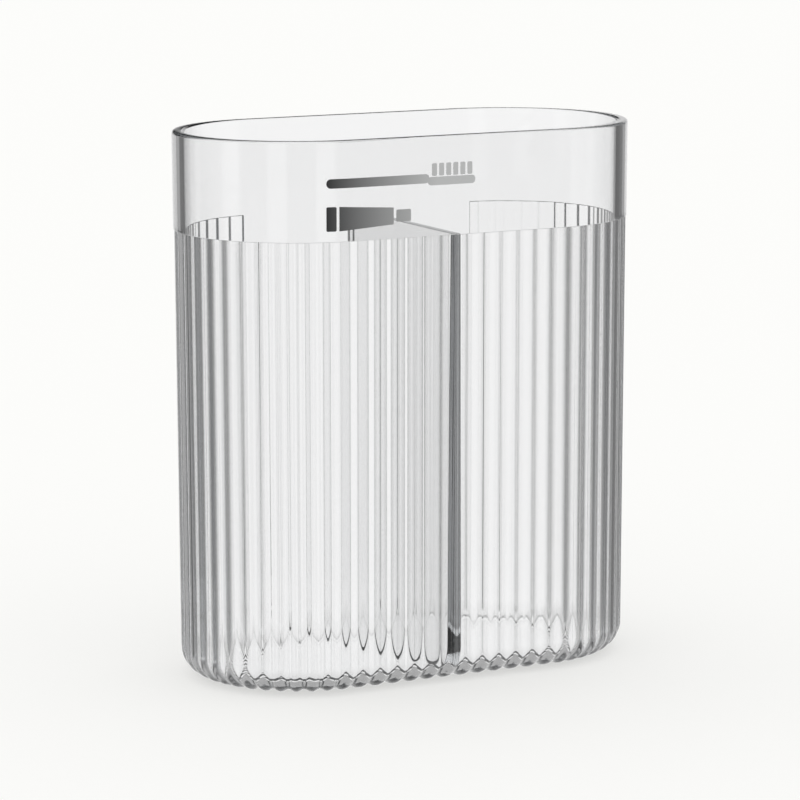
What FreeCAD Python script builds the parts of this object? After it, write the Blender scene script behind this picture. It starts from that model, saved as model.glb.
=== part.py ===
"""A clear toothbrush holder: an obround cup, reeded but for its plain back, and a drop-in divider.

Millimetres, +Z up. The origin is at the middle of the underside, X runs along the long side of the cup,
and the front is towards -Y.
"""
import FreeCAD, Part
import Sketcher
import math
import os

SIZES = [
    ("cup_height", 120.0, "rim above the table"),
    ("cup_length", 105.4, "rim, outside, along X"),
    ("cup_width", 54.6, "rim, outside, along Y"),
    ("draft_angle", 0.3, "lean of every wall, degrees"),
    ("wall", 2.5, "thickness of the band; the reeds are cut into the same wall"),
    ("floor_thickness", 2.5, "floor of the cup"),
    ("rim_radius", 0.6, "rounding of both edges of the rim"),
    ("inner_radius", 3.5, "inside corner between wall and floor"),
    ("base_radius", 6.0, "outside corner between wall and underside"),
    ("base_lift", 0.3, "crests of the reeds above the table, where they turn onto the underside"),
    ("band_height", 21.4, "smooth band below the rim"),
    ("reed_step", 0.2, "crests of the reeds behind the face of the band and of the plain back"),
    ("reed_depth", 0.55, "valley below crest"),
    ("reed_pitch", 4.155, "crest to crest along the wall"),
    ("back_turn", 1.85, "how far the plain back goes round the left end, along the wall"),
    ("reed_runout", 3.0, "length over which the reeds fade on the underside"),
    ("divider_top", 1.8, "thickness of the divider at its top"),
    ("divider_foot", 3.0, "thickness of the divider at the floor"),
    ("edge_clearance", 0.15, "divider to the front and back walls"),
    ("corner_clearance", 2.0, "divider's foot corner radius beyond the inside corner radius and the groove"),
    ("groove_depth", 1.0, "groove in the floor that takes the divider's foot"),
    ("groove_clearance", 0.3, "divider's foot to each side and end of the groove"),
]
# Rings of reed arcs round the base corner, and the height below which an arc counts as a straight line.
BASE_STEPS = 5
FLAT_BULGE = 1e-4

doc = FreeCAD.newDocument("toothbrush_holder")
sheet = doc.addObject("Spreadsheet::Sheet", "sizes")
for row, (alias, value, meaning) in enumerate(SIZES, start=1):
    sheet.set(f"A{row}", meaning)
    sheet.set(f"B{row}", str(value))
    sheet.setAlias(f"B{row}", alias)
doc.recompute()


def size(alias):
    """The value of one cell of the sheet."""
    return float(getattr(sheet, alias))


def bind(target, **expressions):
    """Ties properties of an object to the sheet. A name in square brackets stands for that cell."""
    for name, expression in expressions.items():
        for alias, _, _ in SIZES:
            expression = expression.replace(f"[{alias}]", f"<<sizes>>.{alias}")
        target.setExpression(name.replace("__", "."), expression)


# Expressions shared by the pieces: the divider's foot on the bottom of the groove, the radius of its corners,
# and its half widths at the foot and at the top of the reeds, where it ends.
LEAN = "tan([draft_angle])"
FOOT_LEVEL = "([floor_thickness] - [groove_depth])"
FOOT_RADIUS = "([inner_radius] + [groove_depth] + [corner_clearance])"
FOOT_HALF = f"([cup_width] / 2 - [wall] - [edge_clearance] - ([cup_height] - {FOOT_LEVEL}) * {LEAN})"
TOP_HALF = f"([cup_width] / 2 - [wall] - [edge_clearance] - [band_height] * {LEAN})"


def new_body(name):
    body = doc.addObject("PartDesign::Body", name)
    body.Label = name
    return body


def attach(sketch, body, role):
    """Lays a sketch on one of the body's own planes."""
    plane = next(item for item in body.Origin.OriginFeatures if item.Role == role)
    sketch.AttachmentSupport = [(plane, "")]
    sketch.MapMode = "FlatFace"


def obround_sketch(body, name, level, straight, radius):
    """A closed obround: two straight sides along X joined by half circles. Sizes are expressions."""
    sketch = body.newObject("Sketcher::SketchObject", name)
    attach(sketch, body, "XY_Plane")
    up = FreeCAD.Vector(0, 0, 1)
    # A rough shape first: the constraints then set its true sizes.
    half, bend = 20.0, 10.0
    right = FreeCAD.Vector(half, 0, 0)
    left = FreeCAD.Vector(-half, 0, 0)
    across = FreeCAD.Vector(0, bend, 0)
    quarter = math.pi / 2
    front = sketch.addGeometry(Part.LineSegment(left - across, right - across))
    right_end = sketch.addGeometry(Part.ArcOfCircle(Part.Circle(right, up, bend), -quarter, quarter))
    back = sketch.addGeometry(Part.LineSegment(right + across, left + across))
    left_end = sketch.addGeometry(Part.ArcOfCircle(Part.Circle(left, up, bend), quarter, 3 * quarter))
    turn = [front, right_end, back, left_end]
    for edge, following in zip(turn, turn[1:] + turn[:1]):
        sketch.addConstraint(Sketcher.Constraint("Tangent", edge, 2, following, 1))
    sketch.addConstraint(Sketcher.Constraint("Equal", left_end, right_end))
    sketch.addConstraint(Sketcher.Constraint("PointOnObject", right_end, 3, -1))
    sketch.addConstraint(Sketcher.Constraint("Symmetric", left_end, 3, right_end, 3, -2))
    apart = sketch.addConstraint(Sketcher.Constraint("DistanceX", left_end, 3, right_end, 3, 2 * half))
    sketch.renameConstraint(apart, "straight")
    round_end = sketch.addConstraint(Sketcher.Constraint("Radius", right_end, bend))
    sketch.renameConstraint(round_end, "bend")
    bind(sketch, AttachmentOffset__Base__z=level, Constraints__straight=straight, Constraints__bend=radius)
    return sketch


def trapezoid_sketch(body, name, role, foot, top):
    """A trapezoid that stands in the groove and ends level with the reeds. Sizes are expressions."""
    sketch = body.newObject("Sketcher::SketchObject", name)
    attach(sketch, body, role)
    # A rough shape first: the constraints then set its true sizes.
    half_foot, half_top, bottom, height = 2.0, 3.0, 1.0, 9.0
    corners = [
        FreeCAD.Vector(-half_foot, bottom, 0),
        FreeCAD.Vector(half_foot, bottom, 0),
        FreeCAD.Vector(half_top, height, 0),
        FreeCAD.Vector(-half_top, height, 0),
    ]
    low, right, high, left = [
        sketch.addGeometry(Part.LineSegment(start, end))
        for start, end in zip(corners, corners[1:] + corners[:1])
    ]
    turn = [low, right, high, left]
    for side, following in zip(turn, turn[1:] + turn[:1]):
        sketch.addConstraint(Sketcher.Constraint("Coincident", side, 2, following, 1))
    for side in (low, high):
        sketch.addConstraint(Sketcher.Constraint("Symmetric", side, 1, side, 2, -2))
    sizes = {
        "foot": (Sketcher.Constraint("DistanceX", low, 1, low, 2, 2 * half_foot), foot),
        "top": (Sketcher.Constraint("DistanceX", high, 2, high, 1, 2 * half_top), top),
        "stand": (Sketcher.Constraint("DistanceY", -1, 1, low, 1, bottom), FOOT_LEVEL),
        "level": (Sketcher.Constraint("DistanceY", -1, 1, high, 1, height), "[cup_height] - [band_height]"),
    }
    for label, (constraint, expression) in sizes.items():
        sketch.renameConstraint(sketch.addConstraint(constraint), label)
        bind(sketch, **{f"Constraints__{label}": expression})
    return sketch


def even_pad(body, name, sketch, length):
    """Material to both sides of a sketch, length in all."""
    pad = body.newObject("PartDesign::Pad", name)
    pad.Profile = sketch
    pad.SideType = "Symmetric"
    bind(pad, Length=length)
    doc.recompute()
    return pad


def drafted_pad(body, name, sketch, length):
    """Material below a sketch, leaning inwards on its way down."""
    pad = body.newObject("PartDesign::Pad", name)
    pad.Profile = sketch
    pad.Reversed = True
    bind(pad, Length=length, TaperAngle="-[draft_angle]")
    doc.recompute()
    return pad


def edges_at(shape, level, tolerance=1e-3):
    """Numbers of the edges that lie wholly at one height."""
    found = []
    for number, edge in enumerate(shape.Edges, start=1):
        box = edge.BoundBox
        if abs(box.ZMin - level) < tolerance and abs(box.ZMax - level) < tolerance:
            found.append(number)
    return found


# The band round the mouth, as a full block that the cavity hollows later.
band = new_body("band")
band_outline = obround_sketch(
    band, "band_outline", "[cup_height]", "[cup_length] - [cup_width]", "[cup_width] / 2"
)
drafted_pad(band, "band_block", band_outline, "[band_height]")


# The wall below the band and the rounded base, as a full block: reeds along the front and round both ends,
# and a plain back that is flush with the band.
def reed_stations():
    """Foot and heading of the wall's normal at every quarter pitch: middle of a slope, valley, middle, crest.

    They run counter-clockwise from the plain back on the left end, with as many valleys as fit, and end in
    the middle of a slope too.
    """
    reach = (size("cup_length") - size("cup_width")) / 2
    lean = math.radians(size("draft_angle"))
    bend = size("cup_width") / 2 - size("reed_step") - size("band_height") * math.tan(lean)
    turn = math.pi * bend
    start = size("back_turn")
    pitch = size("reed_pitch")
    count = int((2 * turn + 2 * reach - 2 * start) / pitch + 0.5)
    quarter = math.pi / 2
    stations = []
    for step in range(4 * count - 1):
        along = start + step * pitch / 4
        if along < turn:
            stations.append((-reach, quarter + along / bend))
        elif along < turn + 2 * reach:
            stations.append((along - turn - reach, -quarter))
        else:
            stations.append((reach, (along - turn - 2 * reach) / bend - quarter))
    return stations


def wall_point(station, profile):
    """The point at a station whose profile is a distance from the centre line and a height."""
    foot, heading = station
    reach, level = profile
    return FreeCAD.Vector(foot + reach * math.cos(heading), reach * math.sin(heading), level)


def reed_edge(before, middle, after):
    """An arc over a crest or through a valley, or a straight line where the reeds have faded out."""
    if middle.distanceToPoint((before + after) / 2) < FLAT_BULGE:
        return Part.LineSegment(before, after).toShape()
    return Part.Arc(before, middle, after).toShape()


def reed_ring(stations, crest, valley, back):
    """One level of the wall: a wave between its profiles at crests and valleys, and the plain back."""
    def back_arc(foot, start, end):
        return [wall_point((foot, turn), back) for turn in (start, (start + end) / 2, end)]

    middle = tuple((high + low) / 2 for high, low in zip(crest, valley))
    section = (middle, valley, middle, crest)
    points = [wall_point(station, section[index % 4]) for index, station in enumerate(stations)]
    bends = range(1, len(points), 2)
    reeds = [reed_edge(points[index - 1], points[index], points[index + 1]) for index in bends]
    # The plain back: out of the last slope, round to the back, along it and round to the first slope.
    right = back_arc(*stations[-1], math.pi / 2)
    left = back_arc(stations[0][0], math.pi / 2, stations[0][1])
    plain = [
        Part.LineSegment(points[-1], right[0]),
        Part.Arc(*right),
        Part.LineSegment(right[-1], left[0]),
        Part.Arc(*left),
        Part.LineSegment(left[-1], points[0]),
    ]
    return reeds + [edge.toShape() for edge in plain]


def reed_levels():
    """Profiles of crest, valley and plain back at every level, from the band round to the underside."""
    lean = math.radians(size("draft_angle"))
    depth = size("reed_depth")
    step_out = size("reed_step")
    radius = size("base_radius")
    bend_level = size("base_lift") + radius
    face = size("cup_width") / 2 - step_out
    top = size("cup_height") - size("band_height")
    top_reach = face - size("band_height") * math.tan(lean)
    levels = [((top_reach, top), (top_reach - depth, top), (top_reach + step_out, top))]
    bend_start = bend_level - radius * math.sin(lean)
    bend_reach = face - (size("cup_height") - bend_start) * math.tan(lean)
    centre = bend_reach - radius * math.cos(lean)
    for step in range(BASE_STEPS + 1):
        turn = lean + (math.pi / 2 - lean) * step / BASE_STEPS
        levels.append(tuple(
            (centre + bend * math.cos(turn), bend_level - bend * math.sin(turn))
            for bend in (radius, radius - depth, radius + step_out)
        ))
    faded = centre - size("reed_runout")
    levels.append(((faded, 0.0), (faded, 0.0), (faded + step_out, 0.0)))
    return levels


stations = reed_stations()
rings = [reed_ring(stations, *profiles) for profiles in reed_levels()]
reed_faces = [Part.Face(Part.Wire(rings[0])), Part.Face(Part.Wire(rings[-1]))]
for upper, lower in zip(rings, rings[1:]):
    reed_faces += [Part.makeRuledSurface(above, below) for above, below in zip(upper, lower)]
reed_shell = Part.makeShell(reed_faces)
reed_shell.sewShape()
reed_solid = Part.makeSolid(reed_shell)
if reed_solid.Volume < 0:
    reed_solid.reverse()
reeded_base = doc.addObject("Part::Feature", "reeded_base")
reeded_base.Shape = reed_solid

outside = doc.addObject("Part::Fuse", "outside")
outside.Base = band
outside.Tool = reeded_base

# The space inside the cup.
cavity = new_body("cavity")
cavity_outline = obround_sketch(
    cavity, "cavity_outline", "[cup_height]", "[cup_length] - [cup_width]", "[cup_width] / 2 - [wall]"
)
cavity_block = drafted_pad(cavity, "cavity_block", cavity_outline, "[cup_height] - [floor_thickness]")
cavity_corner = cavity.newObject("PartDesign::Fillet", "cavity_corner")
floor_edges = edges_at(cavity_block.Shape, size("floor_thickness"))
cavity_corner.Base = (cavity_block, [f"Edge{number}" for number in floor_edges])
bind(cavity_corner, Radius="[inner_radius]")

# The groove across the floor: as long as the divider is where its rounded corners leave the floor.
GROOVE_HALF = f"({FOOT_HALF} - {FOOT_RADIUS} + sqrt([groove_depth] * (2 * {FOOT_RADIUS} - [groove_depth])))"
groove = doc.addObject("Part::Box", "groove")
bind(
    groove,
    Length="[divider_foot] + 2 * [groove_clearance]",
    Width=f"2 * ({GROOVE_HALF} + [groove_clearance])",
    Height="[groove_depth] + [inner_radius]",
    Placement__Base__x="-[divider_foot] / 2 - [groove_clearance]",
    Placement__Base__y=f"-{GROOVE_HALF} - [groove_clearance]",
    Placement__Base__z=FOOT_LEVEL,
)
core = doc.addObject("Part::Fuse", "core")
core.Base = cavity
core.Tool = groove

hollow = doc.addObject("Part::Cut", "hollow")
hollow.Base = outside
hollow.Tool = core
doc.recompute()

cup = doc.addObject("Part::Fillet", "cup")
cup.Label = "cup"
cup.Base = hollow
rim_radius = size("rim_radius")
rim_edges = edges_at(hollow.Shape, size("cup_height"))
cup.Edges = [(number, rim_radius, rim_radius) for number in rim_edges]

# The divider: where a plate that fills the cup from front to back meets a wedge that thins towards its top.
plate = new_body("plate")
plate_outline = trapezoid_sketch(
    plate,
    "plate_outline",
    "YZ_Plane",
    f"2 * {FOOT_HALF}",
    f"2 * {TOP_HALF}",
)
plate_block = even_pad(plate, "plate_block", plate_outline, "[divider_foot] + [divider_top]")
foot_corners = plate.newObject("PartDesign::Fillet", "foot_corners")
foot_edges = edges_at(plate_block.Shape, size("floor_thickness") - size("groove_depth"))
across = [number for number in foot_edges if plate_block.Shape.Edges[number - 1].BoundBox.YLength < FLAT_BULGE]
foot_corners.Base = (plate_block, [f"Edge{number}" for number in across])
bind(foot_corners, Radius=FOOT_RADIUS)

wedge = new_body("wedge")
wedge_outline = trapezoid_sketch(wedge, "wedge_outline", "XZ_Plane", "[divider_foot]", "[divider_top]")
even_pad(wedge, "wedge_block", wedge_outline, "[cup_width]")

divider = doc.addObject("Part::Common", "divider")
divider.Label = "divider"
divider.Base = plate
divider.Tool = wedge

doc.recompute()

# Nothing is written unless every object is sound.
for item in doc.Objects:
    if "Invalid" in item.State or "Error" in item.State:
        raise RuntimeError(f"{item.Name} failed: {item.State}")
pieces = [cup, divider]
for piece in pieces:
    if piece.Shape.isNull() or not piece.Shape.isValid():
        raise RuntimeError(f"{piece.Label} has no valid shape")

os.makedirs("parts", exist_ok=True)
for piece in pieces:
    piece.Shape.exportStep(f"parts/{piece.Label}.step")
    box = piece.Shape.BoundBox
    print(
        f"{piece.Label}: {len(piece.Shape.Solids)} solid, {piece.Shape.Volume / 1000:.2f} cm3,",
        f"{box.XLength:.2f} x {box.YLength:.2f} x {box.ZLength:.2f} mm, z {box.ZMin:.3f} to {box.ZMax:.3f}",
    )
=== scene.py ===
"""The clear toothbrush holder as it looks: a reeded cup, its lift-out divider and the print on its band.

Metres, +Z up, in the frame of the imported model. The front of the cup is towards -Y.
"""
import bmesh
import bpy
import math
from mathutils import Matrix, Vector


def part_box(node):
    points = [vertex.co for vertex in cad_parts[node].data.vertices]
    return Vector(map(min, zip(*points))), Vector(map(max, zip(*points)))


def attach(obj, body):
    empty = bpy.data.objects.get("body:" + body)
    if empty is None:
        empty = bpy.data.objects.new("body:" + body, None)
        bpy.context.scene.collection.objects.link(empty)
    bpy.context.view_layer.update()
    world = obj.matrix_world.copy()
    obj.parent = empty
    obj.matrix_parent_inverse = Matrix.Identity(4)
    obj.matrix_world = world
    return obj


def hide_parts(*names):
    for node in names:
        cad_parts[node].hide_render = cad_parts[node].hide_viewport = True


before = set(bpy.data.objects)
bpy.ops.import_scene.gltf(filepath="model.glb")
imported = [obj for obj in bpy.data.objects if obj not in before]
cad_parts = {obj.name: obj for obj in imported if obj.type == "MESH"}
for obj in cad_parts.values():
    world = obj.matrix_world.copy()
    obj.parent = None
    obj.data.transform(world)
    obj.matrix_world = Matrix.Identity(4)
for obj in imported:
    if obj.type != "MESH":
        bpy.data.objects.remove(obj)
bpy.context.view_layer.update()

MM = 0.001
# Faces that meet at more than this angle keep a sharp edge between them.
CREASE = math.radians(30.0)
# Points closer than this are one point, and edges shorter than this are none.
WELD = 1e-7
SHORTEST_EDGE = 1e-8

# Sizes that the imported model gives.
CUP_LOW, CUP_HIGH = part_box("cup")
DIVIDER_LOW, DIVIDER_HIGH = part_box("divider")
HEIGHT = CUP_HIGH.z
HALF_WIDTH = CUP_HIGH.y
STRAIGHT = CUP_HIGH.x - HALF_WIDTH
GROOVE_FLOOR = DIVIDER_LOW.z
REED_TOP = DIVIDER_HIGH.z

# Sizes of the moulding.
LEAN = math.radians(0.3)
WALL = 2.5 * MM
FLOOR = 2.5 * MM
RIM_ROUND = 0.6 * MM
INNER_ROUND = 3.5 * MM
BASE_ROUND = 6.0 * MM
BASE_LIFT = 0.3 * MM
BAND_EDGE = 0.15 * MM
REED_STEP = 0.2 * MM
REED_DEPTH = 0.55 * MM
REED_RUNOUT = 3.0 * MM
REED_PITCH = 4.155 * MM
# How far the plain back goes round the left end, along the wall, and the steps it takes there.
BACK_TURN = 1.85 * MM
BACK_STEPS = 6
# The plain back stands out as far as the band does: its rise, where a valley's is 0 and a crest's is 1.
BACK_RISE = 1 + REED_STEP / REED_DEPTH
# Columns across one reed.
REED_COLUMNS = 20

# The divider, and the groove across the floor that takes its foot.
DIVIDER_TOP_HALF = 0.9 * MM
DIVIDER_FOOT_HALF = DIVIDER_HIGH.x
DIVIDER_CORNER = 6.5 * MM
DIVIDER_EDGE = 0.12 * MM
DIVIDER_STAND = 0.05 * MM
GROOVE_CLEARANCE = 0.3 * MM
GROOVE_HALF = DIVIDER_FOOT_HALF + GROOVE_CLEARANCE

# The print on the band: where it starts, how far it takes to fade, its thickness and its gap to the band.
PRINT_LEFT = -31.5 * MM
PRINT_FADE = 26.0 * MM
PRINT_THICK = 0.02 * MM
PRINT_GAP = 0.01 * MM
BRUSH_AXIS = 111.0 * MM
TUBE_AXIS = 103.5 * MM
# Bars in mm: left and right from where the print starts, low and high from the axis, and the corners' radius.
BRUSH_BARS = [(0, 24, -1.0, 1.0, 0.95), (23.6, 35, -1.5, 0.3, 0.8)]
TUBE_BARS = [(0, 2.2, -2.6, 2.6, 0.3), (16.1, 19.6, -1.3, 1.3, 0.3)]
TUBE_BODY = [(2.8, -2.6), (15.5, -1.8), (15.5, 1.8), (2.8, 2.6)]
# Tufts of bristles stand on the head of the brush, in mm: how many, how far apart, and the first one's bar.
TUFT_COUNT = 6
TUFT_PITCH = 1.7
FIRST_TUFT = (24.6, 25.8, 0.5, 3.2, 0.25)


def outer_face(level):
    """Distance from the centre line to the face of the band, carried on downwards as a leaning wall."""
    return HALF_WIDTH - (HEIGHT - level) * math.tan(LEAN)


def inner_face(level):
    return outer_face(level) - WALL


def arc(centre, radius, start, end, steps):
    """Points (distance, level) of an arc in the upright section of a wall.

    Angle 0 points outwards, and a quarter turn points up.
    """
    points = []
    for step in range(steps + 1):
        angle = start + (end - start) * step / steps
        points.append((centre[0] + radius * math.cos(angle), centre[1] + radius * math.sin(angle)))
    return points


def reed_rise(place):
    """How far a reed stands out from its valleys, 0 to 1, at a place from 0, one valley, to 1, the next.

    The section is a wave: a round crest and a round valley that meet in the middle of the slope.
    """
    quarter = REED_PITCH / 4
    half_depth = REED_DEPTH / 2
    bow = (quarter * quarter + half_depth * half_depth) / (2 * half_depth)
    from_valley = min(place, 1 - place) * REED_PITCH
    from_middle = from_valley if from_valley < quarter else 2 * quarter - from_valley
    rise = (bow - math.sqrt(bow * bow - from_middle * from_middle)) / REED_DEPTH
    return rise if from_valley < quarter else 1 - rise


class Column:
    """One upright line of the cup's surface.

    It has its foot on the centre line, its heading, and a reed's rise there.
    """

    def __init__(self, foot, heading, rise, in_groove=False):
        self.foot = foot
        self.heading = heading
        self.rise = rise
        self.in_groove = in_groove

    def point(self, reach, level):
        return Vector((
            self.foot + reach * math.cos(self.heading),
            reach * math.sin(self.heading),
            level,
        ))


def cup_columns():
    """All columns, counter-clockwise from the left end: the row of reeds, then the plain back."""
    quarter = math.pi / 2
    bend = outer_face(REED_TOP) - REED_STEP
    turn = math.pi * bend
    front_end = turn + 2 * STRAIGHT
    count = int((turn + front_end - 2 * BACK_TURN) / REED_PITCH + 0.5)

    def reeded(along, in_groove):
        """The column at a distance along the wall from the left end of the straight back."""
        rise = reed_rise(((along - BACK_TURN) / REED_PITCH - 0.25) % 1.0)
        if along < turn:
            return Column(-STRAIGHT, quarter + along / bend, rise)
        if along < front_end:
            return Column(along - turn - STRAIGHT, -quarter, rise, in_groove)
        return Column(STRAIGHT, (along - front_end) / bend - quarter, rise)

    def back_turn(foot, start, end):
        turns = [start + (end - start) * step / BACK_STEPS for step in range(BACK_STEPS + 1)]
        return [Column(foot, heading, BACK_RISE) for heading in turns]

    # The row begins and ends in the middle of a slope, beside a valley.
    steps = range(count * REED_COLUMNS - REED_COLUMNS // 2 + 1)
    places = [BACK_TURN + step * REED_PITCH / REED_COLUMNS for step in steps]
    middle = turn + STRAIGHT
    marks = [(along, abs(along - middle) < GROOVE_HALF) for along in places]
    # Each side of the groove is a pair of columns in one place, one on the floor and one in the groove.
    marks += [(middle + side * GROOVE_HALF, inside) for side in (-1, 1) for inside in (False, True)]
    marks.sort(key=lambda mark: (mark[0], mark[1] == (mark[0] < middle)))
    reeds = [reeded(*mark) for mark in marks]
    front = [column for column in reeds if column.heading == -quarter]
    back = [Column(column.foot, quarter, BACK_RISE, column.in_groove) for column in reversed(front)]
    right = back_turn(STRAIGHT, reeds[-1].heading, quarter)
    left = back_turn(-STRAIGHT, quarter, reeds[0].heading)
    return reeds + right + back + left


def outside_rows():
    """Rows of the outside from the middle of the underside up to the rim: functions of a reed's rise."""
    rows = [lambda rise: (0.0, 0.0)]
    bend_level = BASE_LIFT + BASE_ROUND
    bend_face = outer_face(bend_level - BASE_ROUND * math.sin(LEAN)) - REED_STEP
    bend_centre = bend_face - BASE_ROUND * math.cos(LEAN)
    fade_steps = 6
    for step in range(fade_steps):
        share = step / fade_steps
        ease = share * share * (3 - 2 * share)
        reach = bend_centre - REED_RUNOUT * (1 - share)
        rows.append(lambda rise, reach=reach, ease=ease: (
            reach, ease * (BASE_LIFT + REED_DEPTH * (1 - rise))))
    bend_steps = 18
    for step in range(bend_steps + 1):
        angle = math.pi / 2 + (LEAN - math.pi / 2) * step / bend_steps
        rows.append(lambda rise, angle=angle: (
            bend_centre + (BASE_ROUND - REED_DEPTH * (1 - rise)) * math.cos(angle),
            bend_level - (BASE_ROUND - REED_DEPTH * (1 - rise)) * math.sin(angle)))
    wall_steps = 4
    for step in range(1, wall_steps + 1):
        level = bend_level + (REED_TOP - bend_level) * step / wall_steps
        rows.append(lambda rise, level=level: (
            outer_face(level) - REED_STEP - REED_DEPTH * (1 - rise), level))
    edge_centre = (outer_face(REED_TOP) - BAND_EDGE, REED_TOP + BAND_EDGE)
    for point in arc(edge_centre, BAND_EDGE, -math.pi / 2, 0, 4):
        rows.append(lambda rise, point=point: point if rise <= 1 else (outer_face(point[1]), point[1]))
    band_steps = 3
    rim_start = HEIGHT - RIM_ROUND
    for step in range(1, band_steps):
        level = REED_TOP + (rim_start - REED_TOP) * step / band_steps
        rows.append(lambda rise, level=level: (outer_face(level), level))
    rim_steps = 6
    for point in arc((outer_face(rim_start) - RIM_ROUND, rim_start), RIM_ROUND, 0, math.pi / 2, rim_steps):
        rows.append(lambda rise, point=point: point)
    return rows


def inside_rows():
    """Rows of the inside from the rim down to the middle of the floor: a point, and the one in the groove."""
    rim_start = HEIGHT - RIM_ROUND
    wall = arc((inner_face(rim_start) + RIM_ROUND, rim_start), RIM_ROUND, math.pi / 2, math.pi, 6)
    wall.append((inner_face(REED_TOP), REED_TOP))
    corner_level = FLOOR + INNER_ROUND
    corner_centre = (inner_face(corner_level) - INNER_ROUND / math.cos(LEAN), corner_level)
    # The groove ends where the divider's rounded foot comes up out of the floor.
    depth = FLOOR - GROOVE_FLOOR
    foot_reach = DIVIDER_HIGH.y - (REED_TOP - GROOVE_FLOOR) * math.tan(LEAN)
    corner_run = math.sqrt(depth * (2 * DIVIDER_CORNER - depth))
    groove_end = foot_reach - DIVIDER_CORNER + corner_run + GROOVE_CLEARANCE
    groove_angle = -math.acos((groove_end - corner_centre[0]) / INNER_ROUND)
    wall += arc(corner_centre, INNER_ROUND, -LEAN, groove_angle, 12)
    low = arc(corner_centre, INNER_ROUND, groove_angle, -math.pi / 2, 2) + [(0.0, FLOOR)]
    return [(point, point) for point in wall] + [(point, (point[0], GROOVE_FLOOR)) for point in low]


def grid_mesh(name, rows):
    """A closed skin from rows of points that run all the way round, welded where rows or columns meet."""
    shape = bmesh.new()
    grid = [[shape.verts.new(point) for point in row] for row in rows]
    count = len(rows[0])
    for below, above in zip(grid, grid[1:]):
        for index in range(count):
            following = (index + 1) % count
            shape.faces.new((below[index], below[following], above[following], above[index]))
    bmesh.ops.remove_doubles(shape, verts=shape.verts, dist=WELD)
    bmesh.ops.dissolve_degenerate(shape, edges=shape.edges, dist=SHORTEST_EDGE)
    bmesh.ops.recalc_face_normals(shape, faces=shape.faces)
    return finished(name, shape)


def finished(name, shape):
    """An object from a bmesh, smooth except at its creases.

    Large faces decide the normals, so that a flat wall beside a rounded edge stays optically flat.
    """
    mesh = bpy.data.meshes.new(name)
    shape.to_mesh(mesh)
    shape.free()
    mesh.polygons.foreach_set("use_smooth", [True] * len(mesh.polygons))
    mesh.set_sharp_from_angle(angle=CREASE)
    piece = bpy.data.objects.new(name, mesh)
    bpy.context.scene.collection.objects.link(piece)
    normals = piece.modifiers.new("normals", "WEIGHTED_NORMAL")
    normals.mode = "FACE_AREA"
    normals.keep_sharp = True
    evaluated = piece.evaluated_get(bpy.context.evaluated_depsgraph_get())
    piece.data = bpy.data.meshes.new_from_object(evaluated)
    piece.modifiers.clear()
    piece.data.name = name
    return piece


def make_cup():
    columns = cup_columns()
    rows = [[column.point(*row(column.rise)) for column in columns] for row in outside_rows()]
    for plain, grooved in inside_rows():
        rows.append([column.point(*(grooved if column.in_groove else plain)) for column in columns])
    return grid_mesh("cup_shell", rows)


def make_divider():
    """The wedge-shaped plate: its outline across the cup, thicker at the foot, with every edge eased."""
    foot = GROOVE_FLOOR + DIVIDER_STAND
    top_reach = DIVIDER_HIGH.y
    foot_reach = top_reach - (REED_TOP - foot) * math.tan(LEAN)
    corner = arc((foot_reach - DIVIDER_CORNER, foot + DIVIDER_CORNER), DIVIDER_CORNER, -math.pi / 2, 0, 12)
    side = corner + [(top_reach, REED_TOP)]
    outline = side + [(-reach, level) for reach, level in reversed(side)]

    def half_thickness(level):
        share = (level - GROOVE_FLOOR) / (REED_TOP - GROOVE_FLOOR)
        return DIVIDER_FOOT_HALF + (DIVIDER_TOP_HALF - DIVIDER_FOOT_HALF) * share

    shape = bmesh.new()
    left = [shape.verts.new((-half_thickness(level), reach, level)) for reach, level in outline]
    right = [shape.verts.new((half_thickness(level), reach, level)) for reach, level in outline]
    shape.faces.new(left)
    shape.faces.new(list(reversed(right)))
    for index in range(len(outline)):
        following = (index + 1) % len(outline)
        shape.faces.new((left[index], right[index], right[following], left[following]))
    bmesh.ops.recalc_face_normals(shape, faces=shape.faces)
    sharp = [edge for edge in shape.edges if edge.calc_face_angle() > CREASE]
    bmesh.ops.bevel(shape, geom=sharp, offset=DIVIDER_EDGE, segments=4, profile=0.5, affect="EDGES")
    return finished("divider_plate", shape)


# Materials
def linear(hex_colour):
    """An sRGB hex colour as linear red, green, blue and alpha."""
    channels = [int(hex_colour[start:start + 2], 16) / 255 for start in (1, 3, 5)]
    return [c / 12.92 if c <= 0.04045 else ((c + 0.055) / 1.055) ** 2.4 for c in channels] + [1.0]


def add_node(owner, kind, settings=None, inputs=None):
    """Adds a node to a material or the world, sets its properties, and sets or links its inputs."""
    tree = owner.node_tree
    node = tree.nodes.new(kind)
    for name, value in (settings or {}).items():
        setattr(node, name, value)
    for socket, value in (inputs or {}).items():
        if isinstance(value, bpy.types.NodeSocket):
            tree.links.new(value, node.inputs[socket])
        else:
            node.inputs[socket].default_value = value
    return node


def bare_material(name):
    material = bpy.data.materials.new(name)
    material.use_nodes = True
    material.node_tree.nodes.clear()
    return material


def clear_styrene():
    """Clear styrene copolymer, moulded against a polished steel tool.

    To the eye: a glassy face without grain, light bent strongly, and a slight grey where the plastic is deep.
    """
    material = bare_material("clear_styrene_polished")
    surface = add_node(material, "ShaderNodeBsdfPrincipled", inputs={
        "Base Color": linear("#ffffff"), "Roughness": 0.0, "IOR": 1.57, "Transmission Weight": 1.0})
    depth = add_node(material, "ShaderNodeVolumeAbsorption", inputs={
        "Color": linear("#e6e8ea"), "Density": 30.0})
    add_node(material, "ShaderNodeOutputMaterial", inputs={
        "Surface": surface.outputs["BSDF"], "Volume": depth.outputs["Volume"]})
    return material


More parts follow.
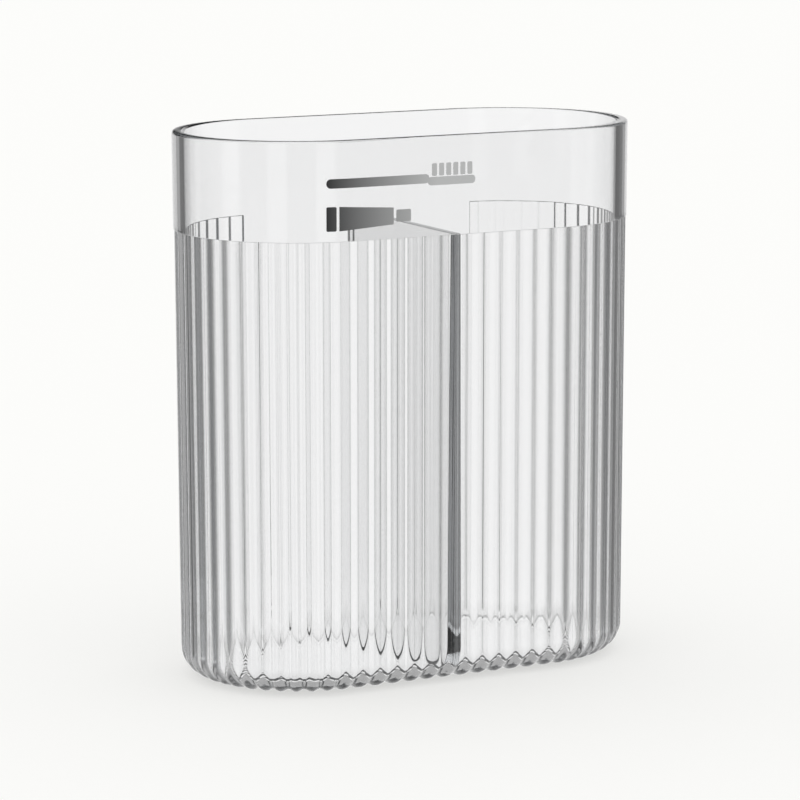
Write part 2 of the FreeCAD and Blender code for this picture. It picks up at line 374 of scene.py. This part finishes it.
def print_ink():
    """Screen-print ink. To the eye: a satin film that fades from near black at the left to grey."""
    material = bare_material("screen_print_ink")
    place = add_node(material, "ShaderNodeTexCoord")
    split = add_node(material, "ShaderNodeSeparateXYZ", inputs={0: place.outputs["Object"]})
    share = add_node(
        material, "ShaderNodeMapRange",
        inputs={0: split.outputs["X"], 1: PRINT_LEFT, 2: PRINT_LEFT + PRINT_FADE})
    fade = add_node(
        material, "ShaderNodeMix", {"data_type": "RGBA"},
        {0: share.outputs[0], 6: linear("#1c1d1f"), 7: linear("#b4b5b6")})
    surface = add_node(
        material, "ShaderNodeBsdfPrincipled",
        inputs={"Base Color": fade.outputs[2], "Roughness": 0.45, "IOR": 1.5})
    add_node(material, "ShaderNodeOutputMaterial", inputs={"Surface": surface.outputs["BSDF"]})
    return material


def rounded_bar(left, right, low, high, corner, steps=6):
    """The outline of a bar with round corners, counter-clockwise, in the plane of the print."""
    points = []
    turns = ((right, low, -1), (right, high, 0), (left, high, 1), (left, low, 2))
    for x, z, quarter in turns:
        centre = (x - corner if x == right else x + corner, z - corner if z == high else z + corner)
        points += arc(centre, corner, quarter * math.pi / 2, (quarter + 1) * math.pi / 2, steps)
    return points


def make_print():
    """Two pictograms on the front of the band: a toothbrush, and below it a tube of paste."""
    start, stop, low, high, corner = FIRST_TUFT
    shifts = [tuft * TUFT_PITCH for tuft in range(TUFT_COUNT)]
    tufts = [(start + shift, stop + shift, low, high, corner) for shift in shifts]
    shapes = []
    for bars, axis in ((BRUSH_BARS + tufts, BRUSH_AXIS), (TUBE_BARS, TUBE_AXIS)):
        for start, stop, low, high, corner in bars:
            shapes.append(rounded_bar(
                PRINT_LEFT + start * MM, PRINT_LEFT + stop * MM,
                axis + low * MM, axis + high * MM, corner * MM))
    shapes.append([(PRINT_LEFT + along * MM, TUBE_AXIS + rise * MM) for along, rise in TUBE_BODY])
    shape = bmesh.new()
    for outline in shapes:
        shape.faces.new([shape.verts.new((x, 0, z)) for x, z in outline])
    # Upright cuts let the print bend with the wall where it runs onto the round end.
    for cut in range(int((-STRAIGHT - PRINT_LEFT) / MM) + 1):
        bmesh.ops.bisect_plane(
            shape, geom=shape.verts[:] + shape.edges[:] + shape.faces[:],
            plane_co=(-STRAIGHT - cut * MM, 0, 0), plane_no=(1, 0, 0))
    for vert in shape.verts:
        reach = outer_face(vert.co.z) + PRINT_GAP + PRINT_THICK
        round_end = max(0.0, -STRAIGHT - vert.co.x)
        vert.co.y = -math.sqrt(reach * reach - round_end * round_end)
    bmesh.ops.recalc_face_normals(shape, faces=shape.faces)
    bmesh.ops.solidify(shape, geom=shape.faces[:], thickness=PRINT_THICK)
    return finished("band_print", shape)


cup = make_cup()
divider = make_divider()
band_print = make_print()
band_print.data.materials.append(print_ink())
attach(band_print, "cup")
plastic = clear_styrene()
for piece, node in ((cup, "cup"), (divider, "divider")):
    piece.data.materials.append(plastic)
    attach(piece, node)
    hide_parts(node)


# The stage
FLOOR_HALF = 3.0
FLOOR_DROP = 0.1 * MM
# How much of the paper's brightness is its own glow, so that it stays white and still keeps the shadow.
FLOOR_GLOW = 0.6
WHITE = "#fffffd"


def make_floor():
    """A white paper sweep. To the eye: even, matt white with a faint shadow.

    Rays that come through or off the clear plastic pass it and see the studio around.
    """
    shape = bmesh.new()
    bmesh.ops.create_grid(shape, x_segments=1, y_segments=1, size=FLOOR_HALF)
    floor = finished("floor", shape)
    floor.location.z = -FLOOR_DROP
    material = bare_material("white_paper_sweep")
    path = add_node(material, "ShaderNodeLightPath")
    bent = add_node(
        material, "ShaderNodeMath", {"operation": "MAXIMUM"},
        {0: path.outputs["Is Glossy Ray"], 1: path.outputs["Is Transmission Ray"]})
    paper = add_node(material, "ShaderNodeBsdfDiffuse", inputs={"Color": linear("#fafafa")})
    glow = add_node(material, "ShaderNodeEmission", inputs={"Color": linear(WHITE), "Strength": 1.0})
    lit = add_node(
        material, "ShaderNodeMixShader", inputs={"Fac": FLOOR_GLOW, 1: paper.outputs[0], 2: glow.outputs[0]})
    clear = add_node(material, "ShaderNodeBsdfTransparent")
    both = add_node(
        material, "ShaderNodeMixShader",
        inputs={"Fac": bent.outputs[0], 1: lit.outputs[0], 2: clear.outputs[0]})
    add_node(material, "ShaderNodeOutputMaterial", inputs={"Surface": both.outputs[0]})
    floor.data.materials.append(material)


# The studio round the object: headings in degrees counter-clockwise from +X, and how bright it is from there.
# Grey flags give the plastic its dark lines. White gaps between them lie in the camera's direction and at the
# multiples of 45 degrees.
STUDIO = [
    (-171, 0.35), (-144, 1.0), (-126, 0.35), (-99, 1.0), (-81, 0.35), (-54, 1.0),
    (9, 0.3), (37, 1.0), (97, 0.3), (112, 0.35), (121, 0.3), (129, 1.0), (144, 0.35), (171, 1.0),
]
# Degrees over which the edge of a flag fades.
STUDIO_SOFT = 2.0
LIGHT_BOUNCES = 32
# Overhead the studio is dark: the upward slope of a ray where that begins, and where it is complete.
OVERHEAD = (0.22, 0.36)
OVERHEAD_BRIGHT = 0.02
# The flags stand on the pale table. Below these slopes the table is seen in front of them.
TABLE = (-0.24, -0.36)
# What a reflection inside the walls keeps of that brightness. One off the floor of the cup rises past these
# slopes and keeps it all.
STUDIO_REFLECTED = 0.38
RISING = (0.02, 0.08)
# A reflection off the top of the rim goes up past the backdrop: the slope where that begins and where it is
# complete. To the left of these headings, in degrees, it then meets the dark part of the studio.
ABOVE_BACKDROP = (0.05, 0.12)
ABOVE_LEFT = (60.0, 62.0)
ABOVE_BRIGHT = 0.04


def make_world():
    world = bpy.data.worlds.new("studio")
    bpy.context.scene.world = world
    world.use_nodes = True
    world.node_tree.nodes.clear()
    place = add_node(world, "ShaderNodeTexCoord")
    split = add_node(world, "ShaderNodeSeparateXYZ", inputs={0: place.outputs["Generated"]})
    heading = add_node(
        world, "ShaderNodeMath", {"operation": "ARCTAN2"}, {0: split.outputs["Y"], 1: split.outputs["X"]})
    share = add_node(
        world, "ShaderNodeMapRange", inputs={0: heading.outputs[0], 1: -math.pi, 2: math.pi})
    flags = add_node(world, "ShaderNodeValToRGB", inputs={"Fac": share.outputs[0]})
    stops = flags.color_ramp.elements
    stops[0].position = 0.0
    stops[1].position = 1.0
    before = STUDIO[-1][1]
    for stop in (stops[0], stops[1]):
        stop.color = (before, before, before, 1.0)
    for degrees, bright in STUDIO:
        middle = (degrees + 180) / 360
        for side, level in ((-0.5, before), (0.5, bright)):
            stop = stops.new(middle + side * STUDIO_SOFT / 360)
            stop.color = (level, level, level, 1.0)
        before = bright
    table = add_node(world, "ShaderNodeMapRange", inputs={0: split.outputs["Z"], 1: TABLE[0], 2: TABLE[1]})
    standing = add_node(
        world, "ShaderNodeMath", {"operation": "MAXIMUM"}, {0: flags.outputs["Color"], 1: table.outputs[0]})
    path = add_node(world, "ShaderNodeLightPath")
    inside = add_node(
        world, "ShaderNodeMath", {"operation": "MINIMUM"},
        {0: path.outputs["Glossy Depth"], 1: path.outputs["Transmission Depth"]})
    once = add_node(world, "ShaderNodeMath", {"operation": "MINIMUM"}, {0: inside.outputs[0], 1: 1.0})
    kept = add_node(
        world, "ShaderNodeMapRange", inputs={0: once.outputs[0], 3: 1.0, 4: STUDIO_REFLECTED})
    rising = add_node(world, "ShaderNodeMapRange", inputs={0: split.outputs["Z"], 1: RISING[0], 2: RISING[1]})
    inner = add_node(
        world, "ShaderNodeMath", {"operation": "MAXIMUM"}, {0: kept.outputs[0], 1: rising.outputs[0]})
    plain = add_node(
        world, "ShaderNodeMath", {"operation": "MAXIMUM"},
        {0: path.outputs["Is Camera Ray"], 1: path.outputs["Is Diffuse Ray"]})
    above = add_node(
        world, "ShaderNodeMapRange",
        inputs={0: split.outputs["Z"], 1: OVERHEAD[0], 2: OVERHEAD[1], 3: 1.0, 4: OVERHEAD_BRIGHT})
    bent = add_node(
        world, "ShaderNodeMath", {"operation": "MINIMUM"}, {0: path.outputs["Transmission Depth"], 1: 1.0})
    backdrop = add_node(
        world, "ShaderNodeMapRange",
        inputs={0: split.outputs["Z"], 1: ABOVE_BACKDROP[0], 2: ABOVE_BACKDROP[1], 3: 1.0, 4: ABOVE_BRIGHT})
    right = add_node(
        world, "ShaderNodeMapRange",
        inputs={
            0: heading.outputs[0], 1: math.radians(ABOVE_LEFT[0]), 2: math.radians(ABOVE_LEFT[1]),
            3: 1.0, 4: 0.0})
    lit = add_node(
        world, "ShaderNodeMath", {"operation": "MAXIMUM"}, {0: backdrop.outputs[0], 1: right.outputs[0]})
    outside = add_node(
        world, "ShaderNodeMath", {"operation": "MAXIMUM"}, {0: lit.outputs[0], 1: bent.outputs[0]})
    bright = add_node(
        world, "ShaderNodeMath", {"operation": "MULTIPLY"}, {0: above.outputs[0], 1: outside.outputs[0]})
    share_kept = add_node(
        world, "ShaderNodeMath", {"operation": "MULTIPLY"}, {0: inner.outputs[0], 1: bright.outputs[0]})
    seen = add_node(
        world, "ShaderNodeMix", {"data_type": "RGBA", "blend_type": "MULTIPLY"},
        {0: 1.0, 6: standing.outputs[0], 7: share_kept.outputs[0]})
    colour = add_node(
        world, "ShaderNodeMix", {"data_type": "RGBA"},
        {0: plain.outputs[0], 6: seen.outputs[2], 7: linear(WHITE)})
    light = add_node(world, "ShaderNodeBackground", inputs={"Color": colour.outputs[2], "Strength": 1.0})
    add_node(world, "ShaderNodeOutputWorld", inputs={"Surface": light.outputs[0]})


# The photograph's frame and the focal length, in its pixels.
PHOTO_SIDE = 800
FOCAL_LENGTH = 3847
SENSOR_WIDTH = 36.0


def make_camera():
    azimuth = math.radians(-26.99)
    elevation = math.radians(9.693)
    distance = 852.86 * MM
    roll = math.radians(-0.107)
    right = Vector((math.cos(azimuth), math.sin(azimuth), 0))
    back = Vector((
        math.sin(azimuth) * math.cos(elevation),
        -math.cos(azimuth) * math.cos(elevation),
        math.sin(elevation),
    ))
    target = Vector((0, 0, 58.481 * MM)) + right * 0.772 * MM
    lens = bpy.data.cameras.new("camera")
    lens.sensor_width = SENSOR_WIDTH
    lens.lens = FOCAL_LENGTH / PHOTO_SIDE * SENSOR_WIDTH
    lens.shift_x = -6.705 / PHOTO_SIDE
    lens.shift_y = 0.437 / PHOTO_SIDE
    camera = bpy.data.objects.new("camera", lens)
    bpy.context.scene.collection.objects.link(camera)
    camera.matrix_world = (
        Matrix.Translation(target + back * distance)
        @ (-back).to_track_quat("-Z", "Y").to_matrix().to_4x4()
        @ Matrix.Rotation(roll, 4, "Z")
    )
    bpy.context.scene.camera = camera


make_floor()
make_world()
make_camera()
bpy.context.scene.view_settings.view_transform = "Standard"
# Light that runs along the divider bounces many times between its faces before it leaves.
bpy.context.scene.cycles.max_bounces = LIGHT_BOUNCES
bpy.context.scene.cycles.glossy_bounces = LIGHT_BOUNCES
bpy.context.scene.cycles.transmission_bounces = LIGHT_BOUNCES
